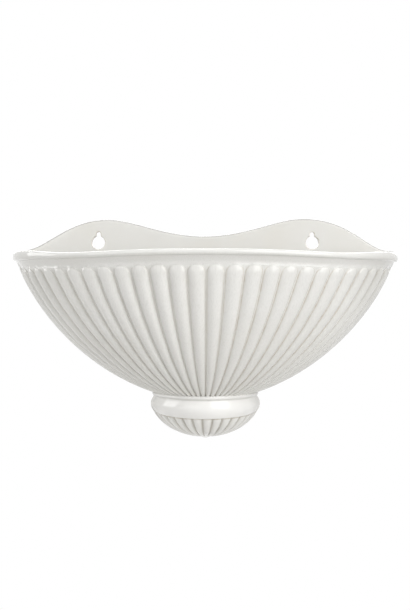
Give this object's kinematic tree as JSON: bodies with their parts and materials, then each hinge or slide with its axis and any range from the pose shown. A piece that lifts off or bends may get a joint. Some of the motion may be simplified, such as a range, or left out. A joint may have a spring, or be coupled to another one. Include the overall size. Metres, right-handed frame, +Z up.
{
  "type": "wall planter",
  "caption": "Half bowl of white glazed earthenware on a flat back plate with a two-humped crest and keyholes; fluted body, collar and gadrooned drop.",
  "frame": {"origin": "on the back face that lies against the wall, midway between the centres of the two keyholes", "axes": "+Z up, +Y into the wall, the bowl comes forward along -Y, +X to the right as seen from the room"},
  "size_m": [0.3794, 0.1382, 0.2168],
  "materials": {
    "white_glaze": "clear gloss glaze over a warm white body"
  },
  "bodies": {
    "root": {"back_plate": "white_glaze", "fluted_bowl": "white_glaze", "neck_collar": "white_glaze", "gadrooned_drop": "white_glaze"}
  },
  "joints": []
}
